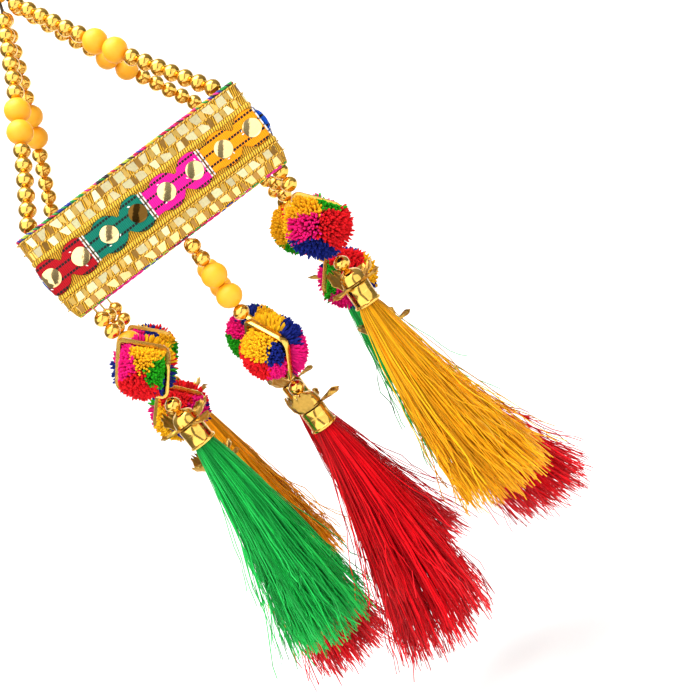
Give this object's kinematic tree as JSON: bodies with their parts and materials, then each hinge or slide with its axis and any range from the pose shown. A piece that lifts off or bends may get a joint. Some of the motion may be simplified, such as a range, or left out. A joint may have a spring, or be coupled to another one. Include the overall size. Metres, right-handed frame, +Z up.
{
  "type": "tasselled hanging ornament",
  "caption": "Hanging ornament: a square hoop of gold lace on bead strings from a ring, with pompoms in gold frames and silky tassels below.",
  "frame": {"origin": "where the hook bears, at the top of the hole of the wire ring", "axes": "+Z up, the front side of the hoop faces -Y, and X runs along that side"},
  "size_m": [0.1373, 0.122, 0.3345],
  "materials": {
    "gold_plate": "polished plating",
    "yellow_bead": "matte",
    "gold_lace": "metallic ribbon",
    "edge_thread": "twisted thread",
    "pompom_yarn": "cut yarn",
    "green_thread": "silky",
    "red_thread": "silky",
    "marigold_thread": "silky",
    "orange_thread": "silky"
  },
  "bodies": {
    "root": {"hang_ring": "gold_plate", "top_bead_gold": "gold_plate", "top_bead_yellow": "yellow_bead", "string_front_left": "gold_plate", "string_front_right": "gold_plate", "string_back_left": "gold_plate", "string_back_right": "gold_plate", "lace_band": "gold_lace", "edging_top": "edge_thread", "edging_bottom": "edge_thread", "beads_front_left": "gold_plate", "cage_front_left": "gold_plate", "pompom_front_left": "pompom_yarn", "cap_front_left": "gold_plate", "leaves_front_left": "gold_plate", "tassel_front_left": "green_thread", "beads_front_middle": "gold_plate", "cage_front_middle": "gold_plate", "pompom_front_middle": "pompom_yarn", "cap_front_middle": "gold_plate", "leaves_front_middle": "gold_plate", "tassel_front_middle": "red_thread", "beads_front_right": "gold_plate", "cage_front_right": "gold_plate", "pompom_front_right": "pompom_yarn", "cap_front_right": "gold_plate", "leaves_front_right": "gold_plate", "tassel_front_right": "marigold_thread", "beads_side_left": "gold_plate", "cage_side_left": "gold_plate", "pompom_side_left": "pompom_yarn", "cap_side_left": "gold_plate", "leaves_side_left": "gold_plate", "tassel_side_left": "red_thread", "beads_side_right": "gold_plate", "cage_side_right": "gold_plate", "pompom_side_right": "pompom_yarn", "cap_side_right": "gold_plate", "leaves_side_right": "gold_plate", "tassel_side_right": "red_thread", "beads_back_left": "gold_plate", "cage_back_left": "gold_plate", "pompom_back_left": "pompom_yarn", "cap_back_left": "gold_plate", "leaves_back_left": "gold_plate", "tassel_back_left": "orange_thread", "beads_back_middle": "gold_plate", "cage_back_middle": "gold_plate", "pompom_back_middle": "pompom_yarn", "cap_back_middle": "gold_plate", "leaves_back_middle": "gold_plate", "tassel_back_middle": "red_thread", "beads_back_right": "gold_plate", "cage_back_right": "gold_plate", "pompom_back_right": "pompom_yarn", "cap_back_right": "gold_plate", "leaves_back_right": "gold_plate", "tassel_back_right": "green_thread"}
  },
  "joints": []
}
